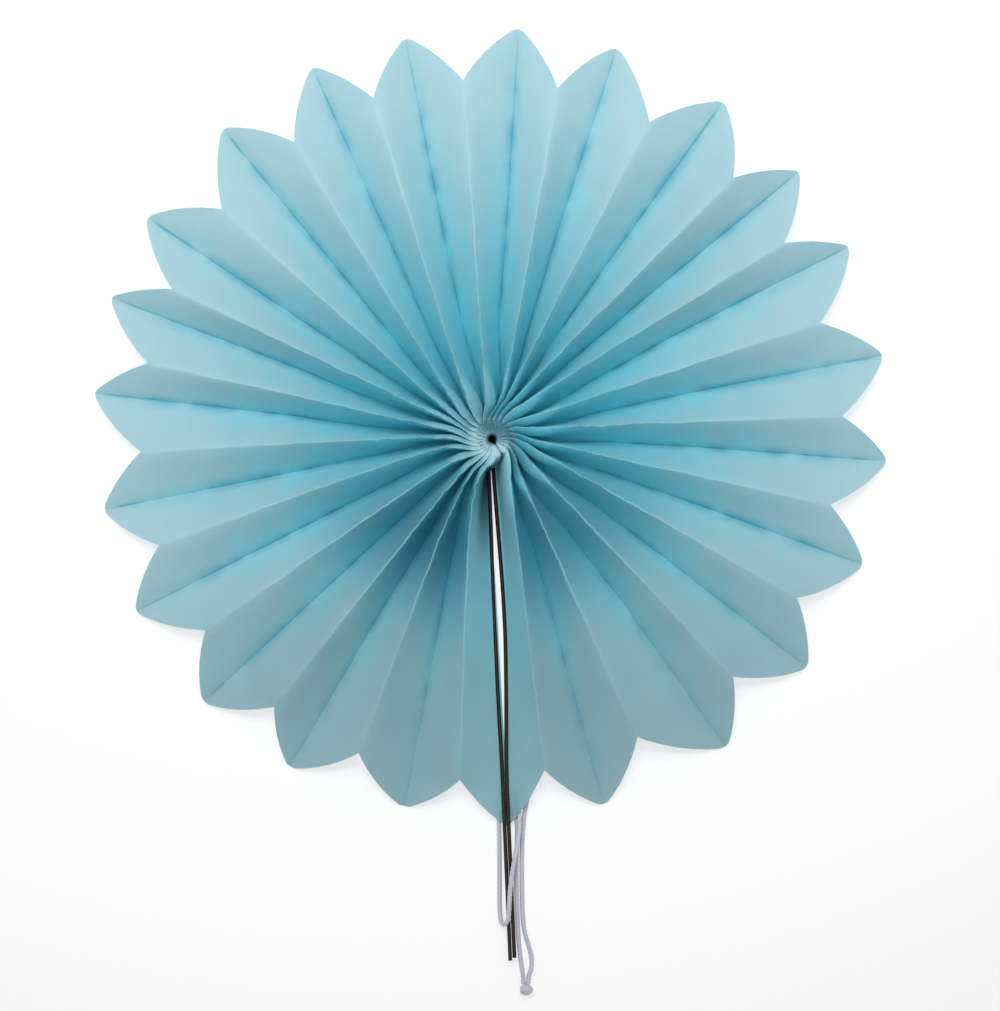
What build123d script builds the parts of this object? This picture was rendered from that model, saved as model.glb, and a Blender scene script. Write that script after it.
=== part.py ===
"""Paper fan rosette: a pleated paper disc with two steel wire ribs and a hanging cord.

One long strip of paper is folded to and fro, gathered along one edge and opened through
a full turn. Each whole petal is two panels that meet in a valley fold on the surface it
lies on, and neighbouring petals meet in a ridge fold. The strip's two end panels make the
last petal, and each is glued to a wire rib.

Units are millimetres. The origin is the hub, on the surface that the rosette lies on.
+Z is the side that is looked at, and the ribs run towards -Y.
"""

from build123d import *
from math import atan, cos, degrees, hypot, pi, radians, sin, sqrt, tan
import os

# Folds
petals = 23
notch_radius = 131.0
notch_rise = 11.0
hub_shift = 7.0
swirl_reach = 1.2
paper_thickness = 0.2

# Cut outline
petal_point = 18.0
edge_bulge = 1.8
tip_rounding = 2.0
die_margin = 3.0

# Hub
hub_hole_radius = 3.0
hub_mouth_radius = 7.0
thread_diameter = 0.8
thread_clearance = 0.2
thread_inset = 1.8

# Ribs and the end petal that holds them
rib_diameter = 1.5
rib_gap = 0.9
rib_start = 12.0
rib_reach = 196.0
rib_stagger = 1.0
rib_end_chamfer = 0.2
glue_line = 0.05
margin_spare = 0.3
end_petal_opening = 2.5
hub_spans = 2
fold_spans = 4

# Hanging cord and its knot
cord_diameter = 1.8
cord_clearance = 0.4
cord_floor_gap = 0.05
knot_diameter = 5.2
knot_length = 5.4
knot_face = -205.0
knot_offset = 4.2

# Worked out from the sizes above
half_pitch = 180 / petals
panel_width = hypot(notch_radius * sin(radians(half_pitch)), notch_rise)
rib_lift = cord_diameter + cord_clearance
rib_radius = rib_diameter / 2
rib_offset = rib_gap / 2 + rib_radius
rib_height = rib_lift + paper_thickness + glue_line + rib_radius
margin_reach = rib_gap / 2 + rib_diameter + margin_spare
cord_radius = cord_diameter / 2
low = cord_radius + cord_floor_gap
high = rib_height + rib_radius + cord_radius + cord_clearance
thread_height = panel_width / 2
thread_radius = (hub_hole_radius + hub_mouth_radius) / 2 + thread_inset
thread_hole_radius = thread_diameter / 2 + thread_clearance
tip_radius = notch_radius + petal_point
rim_radius = tip_radius + die_margin
hub_growth = rib_start / hub_hole_radius
fold_growth = notch_radius / rib_start
stations = [hub_hole_radius * hub_growth ** (step / hub_spans) for step in range(hub_spans)]
stations += [rib_start * fold_growth ** (step / fold_spans) for step in range(fold_spans)]
stations += [notch_radius, rim_radius]


def end_half_angle(radius):
    """Half the angle that the end petal takes, wider at the hub to make room for the ribs."""
    closing = 1 - min(radius / notch_radius, 1)
    return half_pitch * (1 + (end_petal_opening - 1) * closing**2)


def half_angle(radius):
    """Half the angle that each whole petal takes."""
    return (180 - end_half_angle(radius)) / (petals - 1)


def ridge_height(radius):
    """Height of a ridge fold: a panel keeps its width while its two folds move apart."""
    spread = radius * sin(radians(half_pitch))
    if radius > notch_radius:
        return spread * notch_rise / (notch_radius * sin(radians(half_pitch)))
    return sqrt(panel_width**2 - spread**2)


def swirl(radius):
    """Turn of the folds about the hub, which makes them pass beside its centre."""
    return degrees(atan(swirl_reach / radius) - atan(swirl_reach / notch_radius))


def turned(radius, azimuth):
    """Point in plan at a radius and azimuth of the ring of ridges, after the swirl."""
    ring = Vector(0, hub_shift * radius / notch_radius)
    spoke = Vector(radius * cos(radians(azimuth)), radius * sin(radians(azimuth)))
    return (ring + spoke).rotate(Axis.Z, swirl(radius))


def fold_plane(radius, azimuth, spread):
    """Upright plane through two ridges that lie the angle spread each side of an azimuth."""
    middle = (turned(radius, azimuth - spread) + turned(radius, azimuth + spread)) / 2
    heading = azimuth + swirl(radius)
    across = Vector(-sin(radians(heading)), cos(radians(heading)))
    return Plane(origin=middle, x_dir=across, z_dir=across.cross(Vector(0, 0, 1)))


def fold_depth(radius):
    """Upright thickness of the sloping sheet."""
    half_width = radius * sin(radians(half_angle(radius)))
    return paper_thickness * hypot(half_width, ridge_height(radius)) / half_width


def petal_section(radius):
    """Upper and lower side of a V of two panels, from ridge fold to valley fold to ridge fold."""
    half_width = radius * sin(radians(half_angle(radius)))
    top = ridge_height(radius)
    depth = fold_depth(radius)
    upper = [(-half_width, top), (0, depth), (half_width, top)]
    lower = [(-half_width, top - depth), (0, 0), (half_width, top - depth)]
    return upper, lower


def end_panel_section(radius, side):
    """Both sides of an end panel: its ridge fold, the corner of its glue margin, and its edge."""
    half_width = radius * sin(radians(end_half_angle(radius)))
    top = ridge_height(radius)
    room = min((radius - hub_hole_radius) / (rib_start - hub_hole_radius), 1)
    middle = fold_plane(radius, -90, end_half_angle(radius)).origin
    rib_line = room * middle.X / cos(radians(swirl(radius)))
    slit = rib_gap / 2
    margin = max(margin_reach * room, slit + 2 * paper_thickness)
    reach = half_width + side * rib_line
    face = rib_lift + paper_thickness
    upper = [(reach, top), (margin - paper_thickness, face), (slit, face)]
    lower = [(reach, top - fold_depth(radius)), (margin, rib_lift), (slit, rib_lift)]
    return [[(side * along - rib_line, height) for along, height in line] for line in (upper, lower)]


def placed(plane, section):
    """A section's two lines, moved from its fold plane to where they stand."""
    return [[plane.from_local_coords(point) for point in line] for line in section]


def folded_sheet(sections):
    """Solid sheet of flat facets between sections, each three points above and three below."""
    facets = [upper + lower[::-1] for upper, lower in (sections[0], sections[-1])]
    for inner, outer in zip(sections, sections[1:]):
        for near, far in zip(inner, outer):
            for ridge, valley in ((0, 1), (2, 1)):
                facets.append([near[ridge], near[valley], far[valley]])
                facets.append([near[ridge], far[valley], far[ridge]])
        for edge in (0, 2):
            facets.append([inner[0][edge], inner[1][edge], outer[1][edge], outer[0][edge]])
    return Solid(Shell([Face(Wire.make_polygon(corners)) for corners in facets]))


with BuildPart() as cutting_die:
    with BuildSketch(Plane.XY.move(Location((0, hub_shift, 0)))) as die_outline:
        with BuildLine():
            for index in range(petals):
                middle = -90 + 2 * half_pitch * index
                first_notch = Vector(notch_radius, 0).rotate(Axis.Z, middle - half_pitch)
                last_notch = Vector(notch_radius, 0).rotate(Axis.Z, middle + half_pitch)
                tip = Vector(tip_radius, 0).rotate(Axis.Z, middle)
                SagittaArc(first_notch, tip, -edge_bulge)
                SagittaArc(tip, last_notch, -edge_bulge)
        make_face()
        halfway = (notch_radius + tip_radius) / 2
        tips = die_outline.vertices().filter_by(lambda corner: corner.center().length > halfway)
        fillet(tips, tip_rounding)
    extrude(amount=2 * panel_width)

folds = []
for index in range(1, petals):
    sections = []
    for radius in stations:
        turn = end_half_angle(radius) + half_angle(radius) * (2 * index - 1)
        plane = fold_plane(radius, turn - 90, half_angle(radius))
        sections.append(placed(plane, petal_section(radius)))
    folds.append(folded_sheet(sections))

for side in (-1, 1):
    sections = []
    for radius in stations:
        plane = fold_plane(radius, -90, end_half_angle(radius))
        sections.append(placed(plane, end_panel_section(radius, side)))
    folds.append(folded_sheet(sections))

with BuildPart() as pleated_paper:
    add(folds)
    add(cutting_die.part, mode=Mode.INTERSECT)
    with Locations((0, 0, thread_height)):
        Cone(hub_hole_radius, hub_mouth_radius, panel_width, mode=Mode.SUBTRACT)
    with BuildSketch(Plane.XZ):
        with Locations((thread_radius, thread_height)):
            Rectangle(2 * thread_hole_radius, 2 * thread_hole_radius)
    revolve(axis=Axis.Z, mode=Mode.SUBTRACT)
pleated_paper.part.label = "pleated_paper"

with BuildPart() as gather_thread:
    with BuildSketch(Plane.XZ):
        with Locations((thread_radius, thread_height)):
            RegularPolygon(thread_diameter / 2, 6)
    revolve(axis=Axis.Z)
gather_thread.part.label = "gather_thread"

ribs = []
for side in (-1, 1):
    with BuildPart() as rib:
        with BuildSketch(Plane.XZ.offset(rib_start)):
            with Locations((side * rib_offset, rib_height)):
                Circle(rib_radius)
        extrude(amount=rib_reach - rib_start - max(side, 0) * rib_stagger)
        chamfer(rib.edges().filter_by(GeomType.CIRCLE), rib_end_chamfer)
    ribs.append(rib.part)
left_rib, right_rib = ribs
left_rib.label = "left_rib"
right_rib.label = "right_rib"

strand = cord_radius + cord_floor_gap / 2
knot_height = knot_diameter / 2
cord_route = [
    (knot_offset - strand, knot_face, knot_height),
    (knot_offset - strand, -202.0, knot_height),
    (2.7, -197.6, 1.8),
    (2.2, -192.0, 1.1),
    (2.0, -185.0, low),
    (2.0, -176.5, low),
    (2.1, -168.0, low),
    (2.4, -160.0, low),
    (3.0, -152.5, low),
    (3.4, -146.5, low),
    (3.1, -142.3, low),
    (1.5, -139.3, low),
    (-1.5, -139.1, low),
    (-3.4, -142.0, low),
    (-3.5, -147.0, low),
    (-3.7, -154.5, low),
    (-4.0, -163.0, low),
    (-4.3, -170.5, 1.1),
    (-4.5, -176.0, 1.2),
    (-4.4, -179.6, 1.5),
    (-4.1, -181.8, 3.0),
    (-2.9, -182.3, high - 0.4),
    (-1.5, -180.6, high + 0.7),
    (-1.0, -177.3, high + 0.6),
    (-0.6, -172.0, high + 0.2),
    (0.3, -165.5, high),
    (1.7, -158.5, high),
    (3.4, -151.5, 4.7),
    (4.5, -145.5, 3.3),
    (4.7, -140.6, 2.4),
    (4.8, -137.4, 1.9),
    (6.0, -135.7, 1.5),
    (7.9, -135.6, 1.1),
    (9.2, -137.2, low),
    (8.8, -141.0, low),
    (7.5, -147.5, low),
    (5.7, -155.5, low),
    (4.6, -164.0, low),
    (4.1, -172.5, low),
    (4.0, -180.0, low),
    (4.5, -186.5, low),
    (6.1, -191.8, low),
    (6.9, -196.5, 1.3),
    (6.3, -200.2, 2.2),
    (knot_offset + strand, -202.6, knot_height),
    (knot_offset + strand, knot_face, knot_height),
]


def bend_radii(route):
    """Radius at each inner point: as large as the shorter run beside it allows."""
    corners = [Vector(*point) for point in route]
    radii = []
    for before, corner, after in zip(corners, corners[1:], corners[2:]):
        turn = (corner - before).get_angle(after - corner)
        shorter = min((corner - before).length, (after - corner).length)
        radii.append(0.45 * shorter / tan(radians(turn / 2)))
    return radii


with BuildPart() as hanging_cord:
    with BuildLine() as cord_line:
        FilletPolyline(*cord_route, radius=bend_radii(cord_route))
    cord_path = cord_line.wire()
    with BuildSketch(Plane(origin=cord_path @ 0, z_dir=cord_path % 0)):
        Circle(cord_radius)
    sweep(path=cord_path)
hanging_cord.part.label = "hanging_cord"
print("cord radii", [round(radius, 1) for radius in bend_radii(cord_route)])
print("cord length", round(cord_path.length, 1))
section_volume = cord_path.length * pi * cord_radius**2
print("cord volume", round(hanging_cord.part.volume, 1), "against", round(section_volume, 1))

knot_seat = cord_diameter + cord_floor_gap
knot_setback = knot_length / 2 * sqrt(1 - (knot_seat / knot_height) ** 2)

with BuildPart() as cord_knot:
    with BuildSketch(Plane((knot_offset, knot_face, knot_height))):
        with Locations((0, -knot_setback)):
            Ellipse(knot_height, knot_length / 2)
        Rectangle(knot_length, 2 * knot_length, align=(Align.MAX, Align.CENTER), mode=Mode.SUBTRACT)
        Rectangle(knot_diameter, knot_length, align=(Align.MIN, Align.MIN), mode=Mode.SUBTRACT)
    revolve(axis=Axis((knot_offset, 0, knot_height), (0, 1, 0)))
cord_knot.part.label = "cord_knot"

pieces = [
    pleated_paper.part,
    gather_thread.part,
    left_rib,
    right_rib,
    hanging_cord.part,
    cord_knot.part,
]
os.makedirs("parts", exist_ok=True)
for piece in pieces:
    export_step(piece, f"parts/{piece.label}.step")
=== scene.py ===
# %% [markdown]
# # Paper fan rosette
# One long strip of thin light-blue paper is folded to and fro, gathered along one edge and
# opened through a full turn. Two polished wires are glued to its ends, and a soft string is
# looped round them below the rim. The solids give the frame and the size of every piece. This
# script makes the surfaces that the eye meets: the folds as they fell, the wires and the string.

# %% Load the solids
import bpy
import math
import random
import numpy as np
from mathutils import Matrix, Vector, noise


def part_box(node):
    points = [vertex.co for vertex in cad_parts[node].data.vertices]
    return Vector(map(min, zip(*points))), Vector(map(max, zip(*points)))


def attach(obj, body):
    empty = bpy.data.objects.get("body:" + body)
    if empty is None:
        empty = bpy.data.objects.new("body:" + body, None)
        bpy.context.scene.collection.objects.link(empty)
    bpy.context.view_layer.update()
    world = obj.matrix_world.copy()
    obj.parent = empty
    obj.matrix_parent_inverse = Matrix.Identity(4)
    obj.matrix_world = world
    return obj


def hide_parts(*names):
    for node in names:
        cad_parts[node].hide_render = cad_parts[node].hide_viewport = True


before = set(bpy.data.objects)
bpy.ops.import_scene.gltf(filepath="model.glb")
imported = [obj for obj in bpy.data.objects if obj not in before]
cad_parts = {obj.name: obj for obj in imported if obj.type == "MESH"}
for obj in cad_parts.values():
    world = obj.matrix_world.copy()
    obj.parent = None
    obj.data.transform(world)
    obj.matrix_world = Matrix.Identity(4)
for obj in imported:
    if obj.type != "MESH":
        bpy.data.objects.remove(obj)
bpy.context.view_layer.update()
root = "root"
mm = 0.001
print("nodes", sorted(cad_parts))

# %% [markdown]
# ## Camera
# The picture looks straight down on the rosette, over its lower middle, and is turned a little.
# The rosette is 795 pixels wide and is taken as 300 mm, which gives the size of a pixel, and
# the place of the hub in the picture gives where the camera stands.

# %% Camera
fan_width = 300.0
fan_pixels = 795
mm_per_pixel = fan_width / fan_pixels
picture_pixels = (1000, 1011)
hub_pixel = (492, 440)
picture_turn = math.radians(2.4)
camera_height = 1100.0
sensor_width = 36.0


def part_point(pixel):
    """A place in the picture, as x and y of the part in mm."""
    across = (pixel[0] - hub_pixel[0]) * mm_per_pixel
    up = (hub_pixel[1] - pixel[1]) * mm_per_pixel
    turn_cos, turn_sin = math.cos(picture_turn), math.sin(picture_turn)
    return across * turn_cos + up * turn_sin, up * turn_cos - across * turn_sin


camera_data = bpy.data.cameras.new("camera")
camera = bpy.data.objects.new("camera", camera_data)
bpy.context.scene.collection.objects.link(camera)
middle_x, middle_y = part_point((picture_pixels[0] / 2, picture_pixels[1] / 2))
camera.location = Vector((middle_x, middle_y, camera_height)) * mm
camera.rotation_euler = (0, 0, -picture_turn)
camera_data.sensor_width = sensor_width
camera_data.lens = sensor_width * camera_height / (picture_pixels[1] * mm_per_pixel)
camera_data.clip_start = 0.01
bpy.context.scene.camera = camera
print("camera over", round(middle_x, 1), round(middle_y, 1), "lens", round(camera_data.lens, 1))

# %% [markdown]
# ## Hanging cord
# A soft string is a fixed length of something limp. Its route is the solids' own route, drawn
# once more as a smooth NURBS line. The tube around the line is a mesh, because a twisted string
# has three low strands that a plain bevel can't show.

# %% Route of the cord
cord_diameter = 1.8
low = 0.95
high = 5.25
knot_height = 2.6
cord_route = [
    (3.275, -205.0, knot_height),
    (3.275, -202.0, knot_height),
    (2.7, -197.6, 1.8),
    (2.2, -192.0, 1.1),
    (2.0, -185.0, low),
    (2.0, -176.5, low),
    (2.1, -168.0, low),
    (2.4, -160.0, low),
    (3.0, -152.5, low),
    (3.4, -146.5, low),
    (3.1, -142.3, low),
    (1.5, -139.3, low),
    (-1.5, -139.1, low),
    (-3.4, -142.0, low),
    (-3.5, -147.0, low),
    (-3.7, -154.5, low),
    (-4.0, -163.0, low),
    (-4.3, -170.5, 1.1),
    (-4.5, -176.0, 1.2),
    (-4.4, -179.6, 1.5),
    (-4.1, -181.8, 3.0),
    (-2.9, -182.3, high - 0.4),
    (-1.5, -180.6, high + 0.7),
    (-1.0, -177.3, high + 0.6),
    (-0.6, -172.0, high + 0.2),
    (0.3, -165.5, high),
    (1.7, -158.5, high),
    (3.4, -151.5, 4.7),
    (4.4, -145.5, 3.4),
    (4.4, -140.6, 2.5),
    (4.0, -137.2, 1.8),
    (3.5, -134.6, 1.2),
    (4.0, -132.0, low),
    (6.0, -130.6, low),
    (8.0, -132.0, low),
    (7.8, -135.2, low),
    (6.8, -139.0, low),
    (6.0, -143.4, low),
    (5.1, -151.0, low),
    (4.6, -158.0, low),
    (4.3, -165.0, low),
    (4.1, -172.5, low),
    (4.0, -180.0, low),
    (4.5, -186.5, low),
    (6.1, -191.8, low),
    (6.9, -196.5, 1.3),
    (6.3, -200.2, 2.2),
    (5.125, -202.6, knot_height),
    (5.125, -205.0, knot_height),
]


# %% Line through given points
def smooth_line(name, places, order, steps):
    """Points of a NURBS line, from its control points in mm."""
    curve = bpy.data.curves.new(name, "CURVE")
    curve.dimensions = "3D"
    curve.resolution_u = steps
    line = curve.splines.new("NURBS")
    line.points.add(len(places) - 1)
    for point, place in zip(line.points, places):
        point.co = (*(Vector(place) * mm), 1)
    line.order_u = order
    line.use_endpoint_u = True
    carrier = bpy.data.objects.new(name, curve)
    bpy.context.scene.collection.objects.link(carrier)
    bpy.context.view_layer.update()
    found = [vertex.co.copy() for vertex in bpy.data.meshes.new_from_object(carrier).vertices]
    bpy.data.objects.remove(carrier)
    return found


cord_line = smooth_line("cord_line", cord_route, order=3, steps=12)

# %% Tube round a line
def swept_tube(name, line, radius_at, sides):
    """Closed mesh tube round a line of points; radius_at gives mm from an angle and a length in mm."""
    vertices, faces = [], []
    side_way = None
    gone = 0.0
    for index, place in enumerate(line):
        ahead = line[min(index + 1, len(line) - 1)] - line[max(index - 1, 0)]
        ahead.normalize()
        if side_way is None:
            side_way = ahead.cross(Vector((0, 0, 1))).normalized()
        side_way = (side_way - ahead * side_way.dot(ahead)).normalized()
        up_way = ahead.cross(side_way)
        if index:
            gone += (place - line[index - 1]).length / mm
        for side in range(sides):
            angle = 2 * math.pi * side / sides
            reach = radius_at(angle, gone) * mm
            vertices.append(place + (side_way * math.cos(angle) + up_way * math.sin(angle)) * reach)
        if index:
            start = (index - 1) * sides
            for side in range(sides):
                after = (side + 1) % sides
                faces.append((start + side, start + after, start + sides + after, start + sides + side))
    last = (len(line) - 1) * sides
    faces.append(tuple(reversed(range(sides))))
    faces.append(tuple(range(last, last + sides)))
    mesh = bpy.data.meshes.new(name)
    mesh.from_pydata([tuple(v) for v in vertices], [], faces)
    mesh.shade_smooth()
    mesh.validate()
    made = bpy.data.objects.new(name, mesh)
    bpy.context.scene.collection.objects.link(made)
    return made


# %% Cord
cord_radius = cord_diameter / 2
strand_count = 3
strand_relief = 0.05
strand_turn = 5.5


def string_radius(angle, gone):
    """Three strands twisted round each other, one turn every few mm."""
    twist = strand_count * (angle - 2 * math.pi * gone / strand_turn)
    return cord_radius - strand_relief + strand_relief * math.cos(twist)


cord = swept_tube("string", cord_line, string_radius, 24)
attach(cord, root)
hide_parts("hanging_cord")
print("string", len(cord.data.polygons), "faces")

# %% [markdown]
# ## The folds
# The strip has 23 ridge folds towards the eye, which end at the notches of the rim, and a valley
# fold between each two, which ends at the tip of a petal. No two petals opened alike, so the
# tips and notches are placed where the picture shows them. The paper is then one grid of points:
# rows run round the fan from one end of the strip to the other, and columns run out from the
# hub. A grid keeps the strip one continuous sheet, which a petal-by-petal build would not.
# Places in the picture are in pixels. A ridge's aim says how many millimetres beside the hub's
# middle its straight line would pass.

# %% Tips and notches, read from the picture anticlockwise from the wires
seen_notches = [
    (544, 770), (637, 737), (733, 677), (797, 598), (830, 505), (842, 416), (820, 323), (784, 243),
    (733, 178), (649, 122), (558, 88), (463, 80), (373, 98), (294, 142), (222, 209), (172, 289),
    (148, 363), (141, 452), (159, 545), (205, 630), (274, 707), (359, 753), (460, 780),
]
seen_tips = [
    (604, 806), (727, 748), (808, 668), (864, 565), (888, 461), (884, 355), (850, 246), (800, 171),
    (724, 101), (617, 47), (519, 27), (405, 37), (312, 66), (222, 128), (146, 217), (110, 297),
    (93, 393), (103, 510), (135, 612), (203, 703), (289, 768), (404, 808),
]
ridge_aims = [
    5.1, 4.0, 4.4, 4.5, 2.7, 3.3, 3.1, 5.0, 4.4, 2.2, -1.9, 1.2,
    4.6, 5.0, 3.4, 0.9, 0.4, -2.1, -4.0, -1.8, -1.6, -5.1, -7.9,
]
print("petals", len(seen_tips), "and two ends")

# %% Fold lines in the part's plan
def bearing_and_reach(pixel, height):
    """Azimuth in radians and reach in mm of a seen point that stands at a height."""
    x, y = part_point(pixel)
    nearer = 1 - height / camera_height
    x = middle_x + (x - middle_x) * nearer
    y = middle_y + (y - middle_y) * nearer
    azimuth = math.atan2(y, x)
    return (azimuth if azimuth > -math.pi / 2 else azimuth + 2 * math.pi), math.hypot(x, y)


notch_rise = 11.0
ring_ends = (-41.0, 267.0)
ring_azimuths = np.radians(np.linspace(*ring_ends, len(seen_notches)))
folds = [None]
for index, (notch, aim) in enumerate(zip(seen_notches, ridge_aims)):
    azimuth, reach = bearing_and_reach(notch, notch_rise)
    folds.append((azimuth, reach, aim, ring_azimuths[index]))
    if index < len(seen_tips):
        azimuth, reach = bearing_and_reach(seen_tips[index], 0)
        middle_aim = (aim + ridge_aims[index + 1]) / 2
        folds.append((azimuth, reach, middle_aim, ring_azimuths[index:index + 2].mean()))
folds.append(None)
panel_count = len(folds) - 1
print("folds", len(folds) - 2, "panels", panel_count)

# %% [markdown]
# Each fold runs straight from the rim and would pass a few millimetres beside the hub's middle.
# In the last 20 mm all of them swing anticlockwise and end evenly spaced round a ring, which is
# the swirl that gathering the edge leaves. Nearer the hub each valley also lies closer to one of
# its two ridges, so every fold leans over its neighbour and hides the gap between them. Folds on
# the left of the fan were pressed another way than those on the right, so one share says how far
# to the left a fold stands.

# %% Ramps and blends
def ramp(start, end, value):
    """0 at the start and 1 at the end, straight between; the start may be the larger of the two."""
    return np.clip((value - start) / (end - start), 0, 1)


def smooth(start, end, value):
    """The same, with an even curve between."""
    t = ramp(start, end, value)
    return t * t * (3 - 2 * t)


def blend(first, last, share):
    """Value between two, by a share."""
    return first + (last - first) * share


left_bearings = (70.0, 170.0)


def left_share(azimuth):
    """0 for folds on the right of the fan, 1 for those on the left."""
    return float(smooth(*left_bearings, math.degrees(azimuth)))


print("left share of folds", [round(left_share(fold[0]), 1) for fold in folds[1:-1:6]])

# %% Swirl of the folds
ring_radius = 7.6
swirl_start, swirl_end = 22.0, 6.2
swirl_power = 3.2
bend_radii = (26.0, 10.0)
bend_aims = (-1.0, 3.0)
lean_range = (45.0, 12.0)
lean_powers = (1.5, 2.2)
lean_shares = (0.455, 0.4)
even_range = (75.0, 35.0)


def fold_azimuth(fold, radius):
    """Azimuth along a fold, for an array of radii."""
    azimuth, reach, aim, at_ring = fold
    heading = azimuth - math.asin(aim / reach)
    bend_radius = blend(*bend_radii, smooth(*bend_aims, aim))
    straight = heading + np.arcsin(aim / (radius**4 + bend_radius**4) ** 0.25)
    gathered = (swirl_start - np.maximum(radius, swirl_end)) / (swirl_start - ring_radius)
    swing = np.maximum(gathered, 0) ** swirl_power
    return blend(straight, at_ring, swing)


def valley_azimuth(index, radius):
    """Azimuth along a valley: its own line outside, and a share of the way between its ridges inside."""
    before = fold_azimuth(folds[index - 1], radius)
    after = fold_azimuth(folds[index + 1], radius)
    to_left = left_share(folds[index][0])
    lean = ramp(*lean_range, radius) ** blend(*lean_powers, to_left)
    between = blend(before, after, 0.5 - blend(*lean_shares, to_left) * lean)
    return blend(fold_azimuth(folds[index], radius), between, ramp(*even_range, radius))


shown_swing = [round(math.degrees(float(fold_azimuth(folds[23], np.array(r))))) for r in (130, 60, 20, 8)]
print("a fold's azimuth from the rim to the hub", shown_swing)

# %% [markdown]
# The strip's two ends don't meet. By the wires each lies flat as a glued margin, and near the
# hub they part in a narrow slit: the left end curls over the bundle in a rounded lip, and the
# right end starts beside it. Both edges are drawn as azimuths that change with the radius.

# %% Ends of the strip near the hub
hole_radius = 1.35
hole_edge = 2.9
lip_radius, lip_bearing = 5.6, -61.0
lip_hole_swing, lip_swing = 30.0, 31.0
lip_length, lip_power = 5.3, 1.6
slit_radius, slit_bearing = 4.8, -57.0
slit_hole_swing, slit_slope = 40.0, 4.5
slit_width = 0.3


def lip_edge(radius):
    """Azimuth in degrees of the rounded lip's edge."""
    at_hole = lip_hole_swing * ramp(hole_edge, hole_radius, radius) ** 2
    outside = lip_swing * ramp(lip_radius, lip_radius + lip_length, radius) ** lip_power
    return lip_bearing - at_hole - outside


def slit_edge(radius):
    """Azimuth in degrees of the other side of the slit, at least the slit's width from the lip."""
    at_hole = slit_hole_swing * ramp(hole_edge, hole_radius, radius) ** 2
    outside = slit_slope * np.maximum(radius - slit_radius, 0)
    beside_lip = lip_edge(radius) + np.degrees(slit_width / np.maximum(radius, 1.0))
    return np.maximum(slit_bearing + at_hole - outside, beside_lip)


print("lip and slit at 5 mm", lip_edge(np.array(5.0)), slit_edge(np.array(5.0)))

# %% Ends of the strip along the wires
wire_bow, bow_range = 0.75, (12.0, 117.0)
wire_lean, wire_lean_range = 0.85, (8.0, 158.0)
wire_shift = 0.4
margin_gap = 0.35
margin_clear = {-1: 0.9, 1: 0.3}
clear_range = (70.0, 18.0)
leaves_wire = {-1: (10.9, 12.6), 1: (7.4, 10.4)}
near_edge = {-1: lip_edge, 1: slit_edge}
least_radius = 6.0


def margin_azimuth(side, radius):
    """Azimuth of the strip's end edge; side is -1 for the left end and 1 for the right."""
    bow = wire_bow * np.sin(np.pi * ramp(*bow_range, radius))
    lean = wire_lean * np.sin(np.pi * ramp(*wire_lean_range, radius)) - wire_shift
    clear = margin_clear[side] * smooth(*clear_range, radius)
    beside = lean + side * (margin_gap + bow + clear)
    by_wire = -np.pi / 2 + beside / np.maximum(radius, least_radius)
    near_hub = np.radians(near_edge[side](radius))
    whole_turn = 2 * np.pi if side < 0 else 0
    return blend(near_hub, by_wire, smooth(*leaves_wire[side], radius)) + whole_turn


print("margins at 60 mm", [round(float(np.degrees(margin_azimuth(side, 60.0))), 1) for side in (-1, 1)])

# %% [markdown]
# A panel keeps its width while its two folds move apart, so the ridges stand highest near the
# hub and sink towards the notches. At the hub they dip into a small funnel round the hole, and
# the valleys come up to meet them.

# %% Heights of the folds
panel_width = 20.97
notch_radius = 131.0
mean_half_pitch = math.radians(180 / len(seen_notches))
ridge_drop = 0.4
mouth_radius = 6.8
mouth_depth, mouth_power = 5.0, 1.25
floor_height = 0.15
valley_lift = (8.8, 5.6)


def ridge_rise(radius):
    """Height of a ridge, from the panel's width and the distance between its folds."""
    spread = np.minimum(radius, notch_radius) * math.sin(mean_half_pitch)
    inside = np.sqrt(panel_width**2 - spread**2)
    funnel = mouth_depth * ramp(mouth_radius, hole_radius, radius) ** mouth_power
    beyond = notch_rise * radius / notch_radius
    return np.where(radius > notch_radius, beyond, inside) - ridge_drop - funnel


def valley_rise(radius):
    """Height of a valley: on the floor, and up to the ridges where the folds are gathered."""
    return blend(floor_height, ridge_rise(radius), smooth(*valley_lift, radius))


print("ridge heights", [round(float(ridge_rise(np.array(r))), 1) for r in (1.5, 7, 60, 130)])

# %% [markdown]
# Across a panel the sheet isn't quite straight. Its ridge is softly rounded towards the rim. Near
# the hub the top of each fold was pressed flat, so it shows as a narrow band beside a dark
# groove. The two end panels start as a flat margin under the wires and slope up to their ridges,
# and close to the hub they curl over the bundle.

# %% Section across a folded panel
ridge_softness, soft_power = 0.85, 9
pressed_edge = 0.9
pressed_share = (0.02, 0.12)
groove_drop = (0.22, 0.03)
press_start = 6.5
press_bearings = (100.0, 155.0, 195.0)
press_ends = (32.0, 36.0, 21.0)
comb_depth, comb_least = 0.3, 0.2
comb_upper = (-0.5, 0.5)
comb_from, comb_to = (1.8, 4.0), (8.0, 6.5)
tooth_share = 0.2


def bell(distance, width):
    """1 at no distance, and falling off evenly over a width."""
    return math.exp(-((distance / width) ** 2))


def pressed(share, flat):
    """Share of the way across a panel where its upper edge is pressed flat near the hub."""
    below = flat * min(share / pressed_edge, 1)
    return below + (1 - flat) * max((share - pressed_edge) / (1 - pressed_edge), 0)


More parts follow.
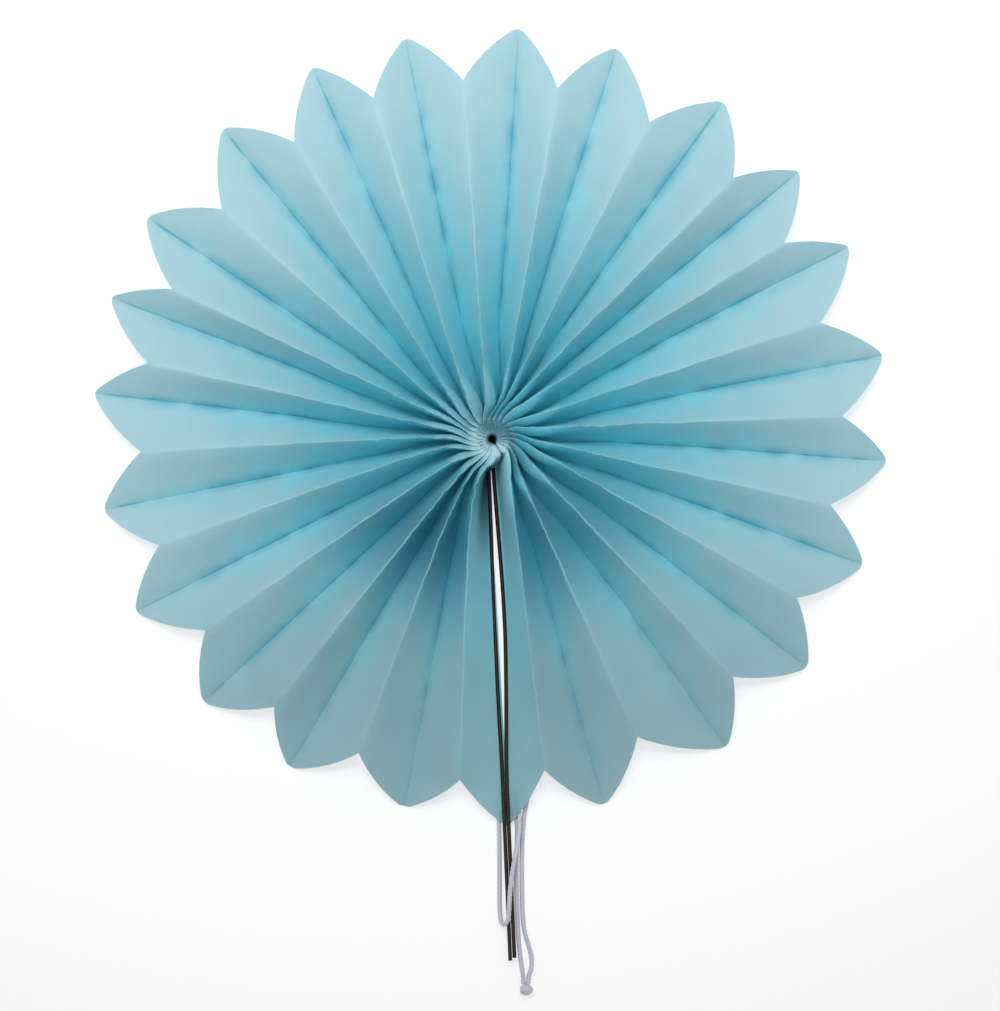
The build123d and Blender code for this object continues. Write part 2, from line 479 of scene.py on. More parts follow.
def panel_section(share, radius, ridge_azimuth):
    """Way across a panel, as a share, and its height, at a share of the sheet from valley to ridge."""
    to_left = left_share(ridge_azimuth)
    press_end = float(np.interp(math.degrees(ridge_azimuth), press_bearings, press_ends))
    press = smooth(press_end, press_start, radius)
    across = blend(share, pressed(share, blend(*pressed_share, to_left)), press)
    softness = ridge_softness * (radius / notch_radius) ** 2 / soft_power
    rise = (share - softness * share**soft_power) / (1 - softness)
    rise = blend(rise, pressed(share, 1 - blend(*groove_drop, to_left)), press)
    tooth = bell(min(share, 1 - share), tooth_share)
    upper = blend(comb_least, 1.0, smooth(*comb_upper, math.sin(ridge_azimuth)))
    comb = comb_depth * upper * tooth * smooth(*comb_from, radius) * smooth(*comb_to, radius)
    return across, blend(valley_rise(radius), ridge_rise(radius), rise) - comb


shown_radius = np.array(60.0)
heights = [float(panel_section(share, shown_radius, 0.0)[1]) for share in (0, 0.5, 1)]
print("panel heights at 60 mm", [round(height, 1) for height in heights])

# %% Section across an end panel
margin_height = 2.45
margin_share = 0.1
hollow_power, round_power = 2.5, 3
bent_range = (40.0, 8.0)
curl_depth, curl_share = 0.9, 0.35
over_range = {-1: (12.4, 10.2), 1: (9.0, 6.0)}


def end_height(side, share, radius):
    """Height across an end panel; side is -1 for the left end and 1 for the right."""
    high = ridge_rise(radius)
    slope = max(0.0, (share - margin_share) / (1 - margin_share))
    bent = slope**hollow_power if side < 0 else 1 - (1 - slope) ** round_power
    sloping = blend(margin_height, high, blend(slope, bent, smooth(*bent_range, radius)))
    curled = high - curl_depth * (1 - min(share / curl_share, 1)) ** 2
    return blend(sloping, curled, smooth(*over_range[side], radius))


heights = [float(end_height(1, share, shown_radius)) for share in (0, 0.5, 1)]
print("end panel heights at 60 mm", [round(height, 1) for height in heights])

# %% [markdown]
# Now the strip becomes one grid of points. Its columns stand closest by the folds and its rows by
# the hub, where the shape changes fastest. A petal's edge bulges a little more or less than its
# neighbour's, by a random share, and every tip is softly rounded.

# %% Columns of the grid
rows = 116
row_power = 1.7
panel_steps = [0, 0.03, 0.09, 0.22, 0.4, 0.58, 0.76, 0.9, 0.97]
columns = []
for panel in range(panel_count):
    falls = panel % 2 == 1
    steps = [0.0] + [1 - step for step in panel_steps[:0:-1]] if falls else panel_steps
    columns += [(panel, step) for step in steps]
columns.append((panel_count - 1, 1.0))
column_count = len(columns)
outward_steps = (np.arange(rows + 1) / rows) ** row_power
print("columns", column_count, "rows", rows + 1)

# %% Grid of the strip
edge_bulge, bulge_range = 1.25, (0.75, 1.3)
tip_rounding, tip_share = 0.85, 0.045
end_tip_reach = 145.5
random.seed(7)
panel_bulge = [edge_bulge * random.uniform(*bulge_range) for _ in range(panel_count)]
grid_azimuth, grid_z, grid_ridge, grid_radius, grid_rim, grid_end = np.zeros((6, rows + 1, column_count))
for column, (panel, part) in enumerate(columns):
    rises = panel % 2 == 0
    share = part if rises else 1 - part
    ridge_index, valley_index = (panel + 1, panel) if rises else (panel, panel + 1)
    ridge, valley = folds[ridge_index], folds[valley_index]
    is_end = valley is None
    tip_reach = end_tip_reach if is_end else valley[1]
    reach = blend(tip_reach, ridge[1], share) + panel_bulge[panel] * 4 * share * (1 - share)
    reach -= 0 if is_end else tip_rounding * bell(share, tip_share)
    radius = blend(hole_radius, reach, outward_steps)
    if is_end:
        side = 1 if rises else -1
        at_valley, across = margin_azimuth(side, radius), share
        height = end_height(side, share, radius)
    else:
        at_valley = valley_azimuth(valley_index, radius)
        across, height = panel_section(share, radius, ridge[0])
    grid_azimuth[:, column] = blend(at_valley, fold_azimuth(ridge, radius), across)
    grid_z[:, column] = height
    grid_ridge[:, column] = share
    grid_radius[:, column] = radius
    grid_rim[:, column] = reach - radius
    # 1 marks the right end panel and 2 the left one
    grid_end[:, column] = (1 if rises else 2) if is_end else 0
grid_x = grid_radius * np.cos(grid_azimuth)
grid_y = grid_radius * np.sin(grid_azimuth)
print("grid", grid_x.shape, "highest", round(float(grid_z.max()), 2))

# %% [markdown]
# Thin paper never stays flat. Slow waves and a fine crinkle move each panel by part of a
# millimetre, more towards the rim, and short ripples cross the panels, most of all in the lower
# half. The ridges near the hub wander a little from side to side, where the folder's fingers
# pressed them, with a frayed edge on top. All come from noise with a real size in mm, each at a
# level of its own, so that no two follow one another.

# %% Waves and wandering ridges
wave_size, wave_depth, wave_everywhere = 26.0, 0.7, 0.35
crinkle_size, crinkle_depth = 7.0, 0.16
ripple_length, ripple_width, ripple_depth = 6.0, 14.0, 0.7
ripple_upper, ripple_reach = 0.2, 90.0
loose_radius = 110.0
valley_hold, hold_slope = 0.2, 3.0
wander_size, wander_reach = 8.0, 0.3
wander_range = (7.0, 12.0)
fray_size, fray_reach, fray_power = 2.0, 0.55, 6
fray_range = (80.0, 40.0)
least_height = 0.1
levels = {"wave": 0, "crinkle": 90, "ripple": 40, "wander": 500, "fray": 900}


def noise_at(x, y, z, size=1.0):
    """Noise at every point of the grid, with bumps about one size apart."""
    places = np.stack(np.broadcast_arrays(x, y, z), axis=-1).reshape(-1, 3)
    return np.array([noise.noise(Vector(place) / size) for place in places]).reshape(x.shape)


outward = np.minimum(grid_radius / loose_radius, 1.0)
slack = outward * 4 * grid_ridge * (1 - grid_ridge)
wave_reach = wave_depth * (wave_everywhere * outward + slack)
wave = noise_at(grid_x, grid_y, levels["wave"], wave_size) * wave_reach
crinkle = noise_at(grid_x, grid_y, levels["crinkle"], crinkle_size) * crinkle_depth * outward
ripple = noise_at(grid_radius / ripple_length, grid_x / ripple_width, levels["ripple"])
ripple *= ripple_depth * slack * np.clip(-grid_y / ripple_reach, ripple_upper, 1)
held = np.minimum(1, valley_hold + grid_ridge * hold_slope)
grid_z = np.maximum(grid_z + (wave + ripple + crinkle) * held, least_height)
near = ramp(*wander_range, grid_radius)
wander = noise_at(grid_x, grid_y, levels["wander"], wander_size) * wander_reach * grid_ridge
fray = noise_at(grid_x, grid_y, levels["fray"], fray_size) * fray_reach * grid_ridge**fray_power
fray *= ramp(*fray_range, grid_radius)
shift = (wander + fray) * near / np.maximum(grid_radius, 1)
grid_x, grid_y = grid_x - shift * grid_y, grid_y + shift * grid_x
print("waves and ripples up to", [round(float(np.abs(moved).max()), 2) for moved in (wave, ripple)], "mm")

# %% [markdown]
# The strip gets two sides a paper's thickness apart, because a closed sheet lights, exports and
# prints as a real one does. The thickness is laid off along the grid's own normals.

# %% Sheet with two sides
sheet_thickness = 0.16
floor_gap = 0.01
least_length = 1e-9
points = np.stack([grid_x, grid_y, grid_z], axis=-1)
normals = np.cross(np.gradient(points, axis=0), np.gradient(points, axis=1))
normals /= np.maximum(np.linalg.norm(normals, axis=-1, keepdims=True), least_length)
front = points + normals * sheet_thickness / 2
back = points - normals * sheet_thickness / 2
back[..., 2] = np.maximum(back[..., 2], floor_gap)
front[..., 2] = np.maximum(front[..., 2], floor_gap)
layer = (rows + 1) * column_count


def at(side, row, column):
    """Number of a grid point; side 0 is the front and 1 is the back."""
    return side * layer + row * column_count + column


faces = []
for row in range(rows):
    for column in range(column_count - 1):
        corners = [(row, column), (row + 1, column), (row + 1, column + 1), (row, column + 1)]
        faces.append([at(0, *corner) for corner in corners])
        faces.append([at(1, *corner) for corner in reversed(corners)])
for column in range(column_count - 1):
    for row, turned in ((0, False), (rows, True)):
        wall = [at(0, row, column), at(0, row, column + 1), at(1, row, column + 1), at(1, row, column)]
        faces.append(wall[::-1] if turned else wall)
for row in range(rows):
    for column, turned in ((0, True), (column_count - 1, False)):
        wall = [at(0, row, column), at(0, row + 1, column), at(1, row + 1, column), at(1, row, column)]
        faces.append(wall if turned else wall[::-1])
vertices = np.concatenate([front.reshape(-1, 3), back.reshape(-1, 3)]) * mm
sheet_mesh = bpy.data.meshes.new("pleated_sheet")
sheet_mesh.from_pydata(vertices.tolist(), [], faces)
sheet_mesh.shade_smooth()
place_data = np.stack([grid_ridge * panel_width, (1 - grid_ridge) * panel_width, grid_radius], axis=-1)
place_data = np.concatenate([place_data.reshape(-1, 3)] * 2).astype(np.float32)
panel_place = sheet_mesh.attributes.new("panel_place", "FLOAT_VECTOR", "POINT")
panel_place.data.foreach_set("vector", place_data.ravel())
for name, values in (("from_rim", grid_rim), ("end_panel", grid_end)):
    kept = sheet_mesh.attributes.new(name, "FLOAT", "POINT")
    kept.data.foreach_set("value", np.concatenate([values.ravel()] * 2).astype(np.float32))
sheet = bpy.data.objects.new("pleated_sheet", sheet_mesh)
bpy.context.scene.collection.objects.link(sheet)
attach(sheet, root)
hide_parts("pleated_paper")
print("paper", len(sheet_mesh.polygons), "faces")

# %% [markdown]
# Blender shades evenly over an edge unless it is marked as sharp. The folds are creased hard, so
# they are marked, and so is the cut rim. The ridges near the rim are only bent, and stay soft.

# %% Sharp folds and edges
creased_share = 0.8
edge_ends = np.zeros(len(sheet_mesh.edges) * 2, dtype=int)
sheet_mesh.edges.foreach_get("vertices", edge_ends)
ends = edge_ends.reshape(-1, 2) % layer
ends_row, ends_column = ends // column_count, ends % column_count
is_fold = np.array([part in (0.0, 1.0) for _, part in columns])
along_fold = (ends_column[:, 0] == ends_column[:, 1]) & is_fold[ends_column[:, 0]]
is_ridge = grid_ridge[0, ends_column[:, 0]] > 0.5
sharp = along_fold & ~(is_ridge & (ends_row[:, 0] > rows * creased_share))
for ends_at, last in ((ends_row, rows), (ends_column, column_count - 1)):
    for border in (0, last):
        sharp |= (ends_at == border).all(axis=1)
sheet_mesh.attributes.new("sharp_edge", "BOOLEAN", "EDGE").data.foreach_set("value", sharp)
print("sharp edges", int(sharp.sum()))

# %% [markdown]
# ## Paper
# The real one is thin dyed paper, close to tissue: matt, and a little cloudy where the fibres lie
# thicker. Where folds lie close, light passes from sheet to sheet and is dyed each time, and that
# deeper colour is painted in. The folds are creased hard: the dark thread in the valleys is painted
# shade in the crease over the broken fibres, and the pale line on the ridges is worn fibres with a
# painted highlight where the edge catches the light. Its fibre clumps are about 1 mm across and are
# drawn at 1.6 mm, so that they show.
#
# Colours are written as the hex values that a picture shows, and Blender's shaders want them
# linear, so one function turns them. One more function adds a shader node, sets it and joins it
# to what feeds it, which keeps each material short enough to read.

# %% Colours and nodes
def linear(hex_colour):
    """Linear colour with alpha from an sRGB hex value."""
    channels = [int(hex_colour[i:i + 2], 16) / 255 for i in (1, 3, 5)]
    curve = [c / 12.92 if c <= 0.04045 else ((c + 0.055) / 1.055) ** 2.4 for c in channels]
    return (*curve, 1.0)


def add_node(tree, kind, inputs=None, **settings):
    """Adds a shader node, sets its properties, and fills or links its inputs by name or number."""
    made = tree.nodes.new(kind)
    for name, value in settings.items():
        setattr(made, name, value)
    for name, value in (inputs or {}).items():
        if isinstance(value, bpy.types.NodeSocket):
            tree.links.new(value, made.inputs[name])
        else:
            made.inputs[name].default_value = value
    return made


def new_material(name):
    """Empty material with its output node."""
    material = bpy.data.materials.new(name)
    material.use_nodes = True
    material.node_tree.nodes.clear()
    return material, add_node(material.node_tree, "ShaderNodeOutputMaterial")


print("mid grey", round(linear("#808080")[0], 3), "linear")

# %% Material: dyed thin paper, and its measures
cloud_size, cloud_detail = 10.0, 1.0
clump_size, clump_detail = 1.6, 0.0
paper, paper_output = new_material("dyed_thin_paper")
tree = paper.node_tree
place = add_node(tree, "ShaderNodeAttribute", attribute_name="panel_place")
distances = add_node(tree, "ShaderNodeSeparateXYZ", {0: place.outputs["Vector"]})
from_valley, from_ridge, from_hub = distances.outputs
from_rim = add_node(tree, "ShaderNodeAttribute", attribute_name="from_rim").outputs["Fac"]
end_panel = add_node(tree, "ShaderNodeAttribute", attribute_name="end_panel").outputs["Fac"]
spot = add_node(tree, "ShaderNodeTexCoord").outputs["Object"]
to_right, to_top, _ = add_node(tree, "ShaderNodeSeparateXYZ", {0: spot}).outputs
noises = []
for size, detail in ((cloud_size, cloud_detail), (clump_size, clump_detail)):
    inputs = {"Vector": spot, "Scale": 1 / (size * mm), "Detail": detail}
    noises.append(add_node(tree, "ShaderNodeTexNoise", inputs).outputs["Fac"])
cloudy, mottled = noises
print("clouds", cloud_size, "mm, fibre clumps", clump_size, "mm")

# %% [markdown]
# The colour is laid on in layers: some are the paper's own tone, and some are painted light and
# shade. Each layer covers what is below by the product of a few shares, and most shares are
# smooth ramps along a measure: the distance in mm from the valley, the ridge, the hub or the rim,
# or the place in the part's own frame, which is in metres.

# %% One layer of colour
def laid_over(below, above, *shares):
    """Colour with another laid over it, by the product of shares.

    A share is a socket, or a smooth ramp: the measure, its start and end, and the share at each.
    """
    covered = None
    for share in shares:
        if isinstance(share, tuple):
            inputs = dict(enumerate(share))
            share = add_node(tree, "ShaderNodeMapRange", inputs, interpolation_type="SMOOTHSTEP").outputs[0]
        if covered is not None:
            share = add_node(tree, "ShaderNodeMath", {0: covered, 1: share}, operation="MULTIPLY").outputs[0]
        covered = share
    below, above = [linear(paint) if isinstance(paint, str) else paint for paint in (below, above)]
    return add_node(tree, "ShaderNodeMix", {0: covered, 6: below, 7: above}, data_type="RGBA").outputs[2]


# %% Base colour, clouds, and painted depth of colour near the hub and valleys
paper_colour = "#c5dfe5"
painted_bounce_colour = "#99ebf4"
worn_and_highlight_colour = "#cfdfe3"
cloud_and_valley_shade_colour = "#89cfdd"
valley_weight, cloud_weight = 1.9, 75.0
bounce_measure = from_hub
for measure, weight in ((from_valley, valley_weight), (cloudy, cloud_weight)):
    inputs = {0: measure, 1: weight, 2: bounce_measure}
    bounce_measure = add_node(tree, "ShaderNodeMath", inputs, operation="MULTIPLY_ADD").outputs[0]
# Nearer the hub and the valleys a more saturated blue is painted in, for light dyed as it passes from sheet
# to sheet.
colour = laid_over(paper_colour, painted_bounce_colour, (bounce_measure, 52.0, 190.0, 1.0, 0.0))
# Paler fibre clumps at random: the paper's own tone.
colour = laid_over(colour, worn_and_highlight_colour, (mottled, 0.45, 0.8, 0.0, 0.3))
# Teal clouds within a few mm of each valley: cloudy tone of the paper, held to the valleys as painted shade.
colour = laid_over(
    colour,
    cloud_and_valley_shade_colour,
    (from_valley, 0.0, 5.5, 0.8, 0.0),
    (cloudy, 0.25, 0.7, 0.0, 1.0),
    (from_rim, 4.0, 30.0, 0.0, 1.0),
)
print("nodes for the clouds", len(tree.nodes))

# %% Painted shade in the creases, worn and highlit ridges, and painted light on the pressed folds
crease_shade_colour = "#68c8d5"
pressed_lit_colour = "#a0d3dd"
crease_core, crease_reach = 0.1, 1.5
# A thin dark teal line along each valley: painted shade in the crease, over the broken fibres.
crease_width = add_node(tree, "ShaderNodeMath", {0: cloudy, 1: crease_reach}, operation="MULTIPLY")
inputs = {0: from_valley, 1: crease_core, 2: crease_width.outputs[0], 3: 1.0, 4: 0.0}
crease_shade = add_node(tree, "ShaderNodeMapRange", inputs).outputs[0]
colour = laid_over(
    colour,
    crease_shade_colour,
    crease_shade,
    (from_rim, 1.0, 7.0, 0.0, 1.0),
    (cloudy, 0.3, 0.6, 0.3, 0.75),
)
# A pale line along the ridges near the hub, stronger on the left: worn fibres, with a painted highlight
# where the fold's edge catches the light.
colour = laid_over(
    colour,
    worn_and_highlight_colour,
    (from_ridge, 0.1, 0.8, 1.0, 0.0),
    (from_hub, 20.0, 75.0, 0.7, 0.0),
    (to_right, -0.012, 0.012, 1.0, 0.45),
)
# The pressed tops beside the ridges on the left near the hub are painted paler: painted light where their
# flat tops catch the lamp.
inputs = {0: to_top, 1: -0.012, 2: 0.008, 3: 24.0, 4: 38.0}
pressed_lit_until = add_node(tree, "ShaderNodeMapRange", inputs, interpolation_type="SMOOTHSTEP").outputs[0]
colour = laid_over(
    colour,
    pressed_lit_colour,
    (from_ridge, 1.6, 5.0, 1.0, 0.0),
    (from_hub, 8.0, pressed_lit_until, 0.85, 0.0),
    (to_right, -0.004, 0.004, 1.0, 0.0),
)
print("nodes with the creases", len(tree.nodes))

# %% Painted shade: greyer below, deeper between close folds
painted_falloff_colour = "#adc9cf"
fold_shade_left_colour, fold_shade_colour = "#56aec2", "#6cc0ce"
beside_hub_shade_colour = "#4a92a4"
off_ends = (end_panel, 0.3, 0.7, 1.0, 0.0)
# The lower part of the fan is painted greyer: painted shade, as the lamp's light falls off away from the
# top.
colour = laid_over(colour, painted_falloff_colour, (to_top, -0.12, -0.02, 0.65, 0.0))
# In the lower half, away from the ridges and the hub, a deeper teal is painted in: painted shade between
# close folds, darker on the left.
colour = laid_over(
    colour,
    laid_over(fold_shade_left_colour, fold_shade_colour, (to_right, -0.025, 0.0, 0.0, 1.0)),
    (to_top, -0.045, 0.0, 0.85, 0.0),
    (from_hub, 30.0, 85.0, 1.0, 0.0),
    (from_ridge, 0.2, 1.5, 0.0, 1.0),
    off_ends,
)
# Painted shade right of the wires just below the hub, where the bundle shades the folds.
colour = laid_over(
    colour,
    beside_hub_shade_colour,
    (from_hub, 12.0, 20.0, 0.35, 0.0),
    (to_right, 0.0, 0.006, 0.0, 1.0),
    (to_top, -0.011, -0.002, 1.0, 0.0),
    off_ends,
)
print("nodes with the deep folds", len(tree.nodes))

# %% End panels: painted paler as a single lit sheet, and painted shade where the left one turns in behind its wire
end_panel_light_colour = "#b4e2ea"
shade_colour = "#2f6a78"
# The end panels are painted paler: painted light on a single sheet that no neighbouring fold shades.
colour = laid_over(colour, end_panel_light_colour, (end_panel, 0.3, 0.7, 0.0, 0.85), (from_hub, 50.0, 105.0, 1.0, 0.3))
# Painted shade on the left end panel near the hub, where it turns in behind its wire.
colour = laid_over(
    colour,
    shade_colour,
    (end_panel, 1.3, 1.7, 0.0, 1.0),
    (from_hub, 16.0, 50.0, 0.9, 0.0),
    (from_ridge, 4.0, 12.0, 0.0, 1.0),
)
print("nodes with the end panels", len(tree.nodes))

# %% Hub: painted light below, painted shade above and in the teeth's grooves, and black painted shade in the hole
hub_lit_colour, hub_shade_colour = "#9cbfca", "#78aebe"
comb_shade_colour = "#3f7888"
painted_hole_shade_colour = "#10262e"
hub_shade_way = (0.45, 0.9, 0.0)
uphill = add_node(tree, "ShaderNodeVectorMath", {0: spot, 1: hub_shade_way}, operation="DOT_PRODUCT")
upper = (uphill.outputs["Value"], -0.0015, 0.0045, 0.0, 1.0)
nearest = add_node(tree, "ShaderNodeMath", {0: from_valley, 1: from_ridge}, operation="MINIMUM").outputs[0]
teeth_shade = (nearest, 1.0, 5.0, 0.95, 0.0)
# The hub disc is painted in a lit and a shaded copy of its colour, split by the way to the lamp; the dark
# lines by the folds above and the black in the hole are painted shade.
hub_colour = laid_over(hub_lit_colour, hub_shade_colour, upper)
hub_colour = laid_over(hub_colour, comb_shade_colour, teeth_shade, (from_hub, 2.0, 3.5, 0.0, 1.0), upper)
hub_colour = laid_over(hub_colour, painted_hole_shade_colour, (from_hub, hole_radius, 3.2, 0.9, 0.0))
colour = laid_over(colour, hub_colour, (from_hub, 6.2, 8.5, 1.0, 0.0))
print("nodes with the hub", len(tree.nodes))

# %% [markdown]
# Thin paper lets much of the light through, so a translucent shader is mixed with the plain matt
# one. Near the hub many layers lie on each other, and hardly any light gets through.

# %% Light on the paper and through it
light_through, light_through_hub = 0.64, 0.05
through_range = (5.0, 10.5)
clump_depth = 0.22
bump = add_node(tree, "ShaderNodeBump", {"Height": mottled, "Strength": 0.4, "Distance": clump_depth * mm})
inputs = {"Base Color": colour, "Roughness": 0.85, "IOR": 1.5, "Specular IOR Level": 0.2}
surface = add_node(tree, "ShaderNodeBsdfPrincipled", {**inputs, "Normal": bump.outputs[0]})
through = add_node(tree, "ShaderNodeBsdfTranslucent", {"Color": colour, "Normal": bump.outputs[0]})
inputs = {0: from_hub, 1: through_range[0], 2: through_range[1], 3: light_through_hub, 4: light_through}
single_sheet = add_node(tree, "ShaderNodeMapRange", inputs, interpolation_type="SMOOTHSTEP").outputs[0]
both = add_node(tree, "ShaderNodeMixShader", {0: single_sheet, 1: surface.outputs[0], 2: through.outputs[0]})
tree.links.new(both.outputs[0], paper_output.inputs["Surface"])
sheet_mesh.materials.append(paper)
print("paper material", len(tree.nodes), "nodes")

# %% [markdown]
# ## Wires
# The two ribs are drawn steel wire, ground smooth and lacquered dark, so each shows as a dark
# band with a bright line along it. They touch near the hub and below the rim and bow apart
# between, so a slit of the pale ground shows. Each is a round tube swept along its own line. The
# marks of drawing run along a wire and are some hundredths of a millimetre apart. They are
# drawn at 0.3 mm, so that they show.

# %% Ribs
wire_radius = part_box("left_rib")[1].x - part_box("left_rib")[0].x
wire_radius = wire_radius / mm / 2
wire_height = (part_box("left_rib")[0].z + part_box("left_rib")[1].z) / 2 / mm
reach_in = 1.5
seen_wires = {
    "left_rib": [(488.8, 468), (489.2, 480), (490.0, 500), (491.4, 540), (492.5, 580), (494.2, 620),
                 (495.5, 640), (497.2, 680), (499.3, 720), (501.8, 760), (503.4, 800), (505.2, 840),
                 (510.3, 961)],
    "right_rib": [(493.1, 468), (493.8, 480), (495.6, 500), (498.8, 540), (502.2, 580), (504.6, 620),
                  (505.4, 640), (506.0, 680), (506.3, 720), (506.1, 760), (507.6, 800), (509.4, 840),
                  (514.5, 958)],
}
wires = []
for node, seen in seen_wires.items():
    top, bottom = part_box(node)[1].y / mm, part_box(node)[0].y / mm
    places = [(*part_point(pixel), wire_height) for pixel in seen]
    places[0] = (places[0][0], top + reach_in, wire_height)
    places[-1] = (places[-1][0], bottom, wire_height)
    wire_line = smooth_line(node, places, order=4, steps=8)
    wire = swept_tube(node + "_wire", wire_line, lambda angle, gone: wire_radius, 32)
    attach(wire, root)
    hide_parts(node)
    wires.append(wire)
print("wire radius", round(wire_radius, 3), "height", round(wire_height, 2))

# %% Material: dark polished steel wire
steel_colour = "#37322f"
streak_width, streak_stretch = 0.3, 0.03
steel, steel_output = new_material("dark_polished_steel")
tree = steel.node_tree
spot = add_node(tree, "ShaderNodeTexCoord").outputs["Object"]
drawn = add_node(tree, "ShaderNodeMapping", {"Vector": spot, "Scale": (1.0, streak_stretch, 1.0)})
inputs = {"Vector": drawn.outputs[0], "Scale": 1 / (streak_width * mm), "Detail": 3.0}
streak = add_node(tree, "ShaderNodeTexNoise", inputs)
rough = add_node(tree, "ShaderNodeMapRange", {0: streak.outputs["Fac"], 1: 0.3, 2: 0.7, 3: 0.1, 4: 0.2})
inputs = {"Base Color": linear(steel_colour), "Metallic": 1.0, "Roughness": rough.outputs[0]}
surface = add_node(tree, "ShaderNodeBsdfPrincipled", inputs)
tree.links.new(surface.outputs[0], steel_output.inputs["Surface"])
for wire in wires:
    wire.data.materials.append(steel)
print("steel material", len(tree.nodes), "nodes")

# %% [markdown]
# ## Knot and thread
# The knot is an overhand knot drawn tight, so it shows as a small rounded lump with the string's
# own twist. A ball with three low waves round it gives that, and its turns are too small to tell
# apart. The gather thread is the solid's own ring and only gets its finish here.

# %% Knot
strand_waves, lay_turn = 3, 5.5
wave_middle, wave_relief = 0.93, 0.06
knot_low, knot_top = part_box("cord_knot")
knot_middle = (knot_low + knot_top) / 2
knot_size = (knot_top - knot_low) / 2
bpy.ops.mesh.primitive_uv_sphere_add(segments=48, ring_count=32, radius=1.0)
knot = bpy.context.object
knot.name = "tight_knot"
for vertex in knot.data.vertices:
    direction = vertex.co.copy()
    wrap = math.cos(strand_waves * math.atan2(direction.z, direction.x) + lay_turn * direction.y)
    swell = wave_middle + wave_relief * wrap * (1 - direction.y**4)
    vertex.co = knot_middle + Vector(a * b * swell for a, b in zip(direction, knot_size))
knot.data.shade_smooth()
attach(knot, root)
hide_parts("cord_knot")
print("knot", [round(2 * side / mm, 1) for side in knot_size], "mm")

# %% [markdown]
# Soft polyester string is matt with a faint sheen from loose fibres. The fibres are about 0.02 mm
# thick and are drawn at 0.25 mm, so that they show.

# %% Material: soft polyester string
string_dark_colour, string_pale_colour = "#b4b4be", "#c9c9d1"
fibre_size, fibre_depth = 0.25, 0.08
string, string_output = new_material("soft_polyester_string")
tree = string.node_tree
spot = add_node(tree, "ShaderNodeTexCoord").outputs["Object"]
inputs = {"Vector": spot, "Scale": 1 / (fibre_size * mm), "Detail": 4.0}
fibre = add_node(tree, "ShaderNodeTexNoise", inputs).outputs["Fac"]
shade = laid_over(string_dark_colour, string_pale_colour, fibre)
bump = add_node(tree, "ShaderNodeBump", {"Height": fibre, "Strength": 0.3, "Distance": fibre_depth * mm})
inputs = {"Base Color": shade, "Roughness": 0.75, "Sheen Weight": 0.3, "Normal": bump.outputs[0]}
surface = add_node(tree, "ShaderNodeBsdfPrincipled", inputs)
tree.links.new(surface.outputs[0], string_output.inputs["Surface"])
cord.data.materials.append(string)
knot.data.materials.append(string)
print("string material", len(tree.nodes), "nodes")

# %% [markdown]
# Sewing thread is spun cotton, matt and nearly white. Its twist is about 0.8 mm long, and a wave
# pattern gives it.

# %% Material: sewing thread
thread_colour = "#c6d3d6"
twist_length, twist_depth = 0.8, 0.05
thread, thread_output = new_material("spun_cotton_thread")
tree = thread.node_tree
spot = add_node(tree, "ShaderNodeTexCoord").outputs["Object"]
inputs = {"Vector": spot, "Scale": 1 / (twist_length * mm), "Distortion": 2.0}
twist = add_node(tree, "ShaderNodeTexWave", inputs).outputs["Fac"]
bump = add_node(tree, "ShaderNodeBump", {"Height": twist, "Strength": 0.4, "Distance": twist_depth * mm})
inputs = {"Base Color": linear(thread_colour), "Roughness": 0.8, "Normal": bump.outputs[0]}
surface = add_node(tree, "ShaderNodeBsdfPrincipled", inputs)
tree.links.new(surface.outputs[0], thread_output.inputs["Surface"])
thread_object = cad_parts["gather_thread"]
thread_object.data.materials.clear()
thread_object.data.materials.append(thread)
print("thread material", len(tree.nodes), "nodes")

# %% [markdown]
# ## Ground and light
# The ground is smooth white card, matt and even. To the camera and in reflections it also glows,
# so it shows white without more light on the paper, and it keeps the shadow. Far out it glows
# more, so its edge melts into the backdrop. A dark patch under the hub stands for the shade
# inside the bundle, which is what the eye meets in the hole.

# %% Ground
ground_size = 4.0
ground_drop = 0.0002
ground_colour, hole_shade_colour = "#f2f2f2", "#1c2224"
shade_edge, glow_edge = (7.0, 9.5), (10.0, 13.0)
far_edge = (300.0, 1200.0)
near_glow, far_glow = 0.6, 0.33
glow_strength = 1.08
white = (1, 1, 1, 1)


def seen_directly(tree):
    """1 for rays that the eye follows, straight, mirrored or through glass, and 0 for light's own."""
    rays = add_node(tree, "ShaderNodeLightPath").outputs
    seen = rays["Is Camera Ray"]
    for kind in ("Is Glossy Ray", "Is Transmission Ray"):
        seen = add_node(tree, "ShaderNodeMath", {0: seen, 1: rays[kind]}, operation="MAXIMUM").outputs[0]
    return seen


bpy.ops.mesh.primitive_plane_add(size=ground_size, location=(0, 0, -ground_drop))
ground = bpy.context.object
ground.name = "ground"
ground_material, ground_output = new_material("plain_white_ground")
tree = ground_material.node_tree
spot = add_node(tree, "ShaderNodeTexCoord").outputs["Object"]
far = add_node(tree, "ShaderNodeVectorMath", {0: spot}, operation="LENGTH").outputs["Value"]
shares = []
for edge, share in ((glow_edge, near_glow), (far_edge, far_glow), (shade_edge, 1.0)):
    inputs = {0: far, 1: edge[0] * mm, 2: edge[1] * mm, 3: 0.0, 4: share}
    shares.append(add_node(tree, "ShaderNodeMapRange", inputs).outputs[0])
near_share, far_share, off_hub = shares
glow_here = add_node(tree, "ShaderNodeMath", {0: near_share, 1: far_share}, operation="ADD").outputs[0]
inputs = {0: seen_directly(tree), 1: glow_here}
glow_share = add_node(tree, "ShaderNodeMath", inputs, operation="MULTIPLY").outputs[0]
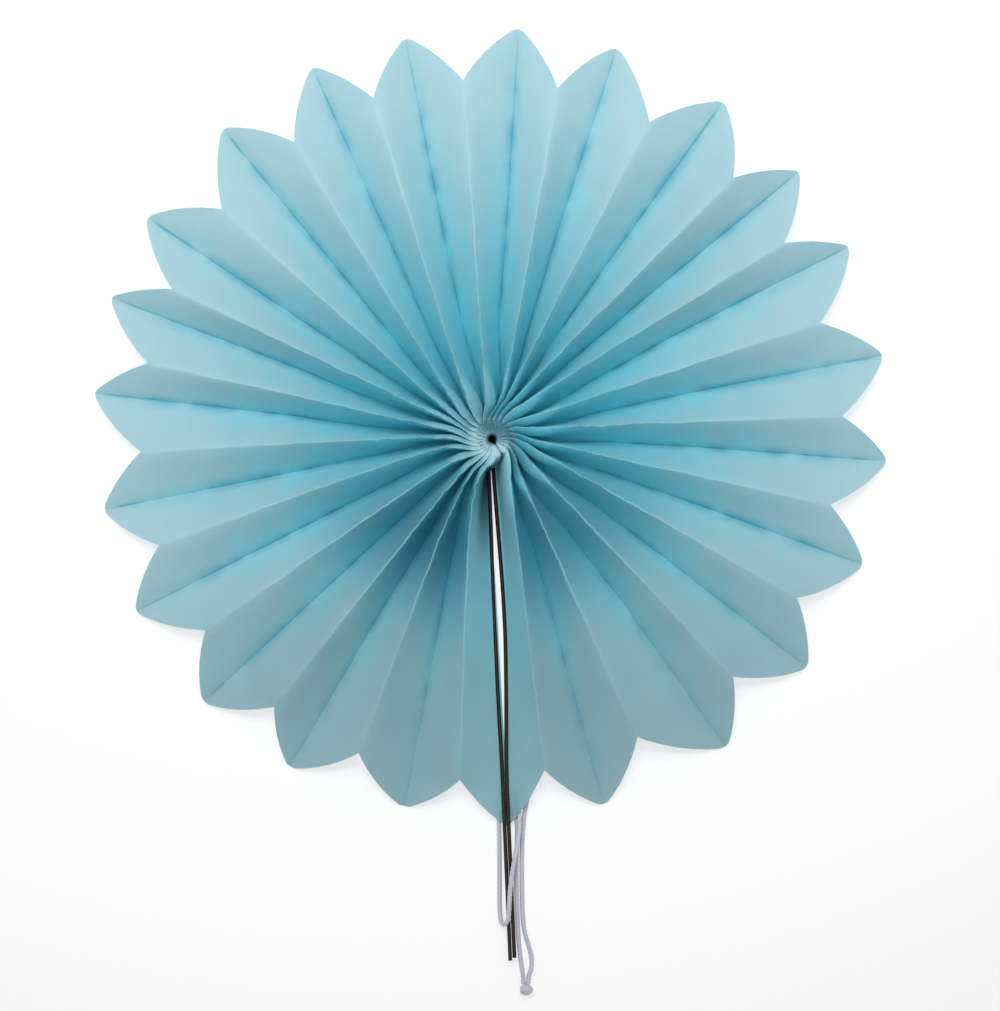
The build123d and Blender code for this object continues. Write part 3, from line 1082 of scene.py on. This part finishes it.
matt_colour = laid_over(hole_shade_colour, ground_colour, off_hub)
matt = add_node(tree, "ShaderNodeBsdfDiffuse", {"Color": matt_colour})
glow = add_node(tree, "ShaderNodeEmission", {"Color": white, "Strength": glow_strength})
lit = add_node(tree, "ShaderNodeMixShader", {0: glow_share, 1: matt.outputs[0], 2: glow.outputs[0]})
tree.links.new(lit.outputs[0], ground_output.inputs["Surface"])
ground.data.materials.append(ground_material)
print("ground material", len(tree.nodes), "nodes")

# %% [markdown]
# One wide soft lamp stands beyond the top of the picture, as a window would, and a pale sky gives
# the rest. The sky shows white where the eye looks past the ground.

# %% Sky
sky_colour, sky_strength = "#f6f8f8", 0.47
world = bpy.data.worlds.new("soft_sky")
bpy.context.scene.world = world
world.use_nodes = True
tree = world.node_tree
tree.nodes.clear()
world_output = add_node(tree, "ShaderNodeOutputWorld")
sky = add_node(tree, "ShaderNodeBackground", {"Color": linear(sky_colour), "Strength": sky_strength})
backdrop = add_node(tree, "ShaderNodeBackground", {"Color": white, "Strength": 1.0})
inputs = {0: seen_directly(tree), 1: sky.outputs[0], 2: backdrop.outputs[0]}
sky_or_backdrop = add_node(tree, "ShaderNodeMixShader", inputs)
tree.links.new(sky_or_backdrop.outputs[0], world_output.inputs["Surface"])
print("sky", len(tree.nodes), "nodes")

# %% Lamp
lamp_size = (0.7, 0.5)
lamp_power = 1.65
lamp_place = (-0.05, 0.42, 0.9)
lamp_aim = (0, 0.16, 0)
lamp_data = bpy.data.lights.new("wide_lamp", "AREA")
lamp_data.shape = "RECTANGLE"
lamp_data.size, lamp_data.size_y = lamp_size
lamp_data.spread = math.radians(60)
lamp_data.energy = lamp_power
lamp = bpy.data.objects.new("wide_lamp", lamp_data)
bpy.context.scene.collection.objects.link(lamp)
lamp.location = lamp_place
lamp.rotation_euler = (Vector(lamp_aim) - lamp.location).to_track_quat("-Z", "Y").to_euler()
bpy.context.scene.view_settings.view_transform = "Standard"
print("lamp", lamp_power, "W at", lamp_place)
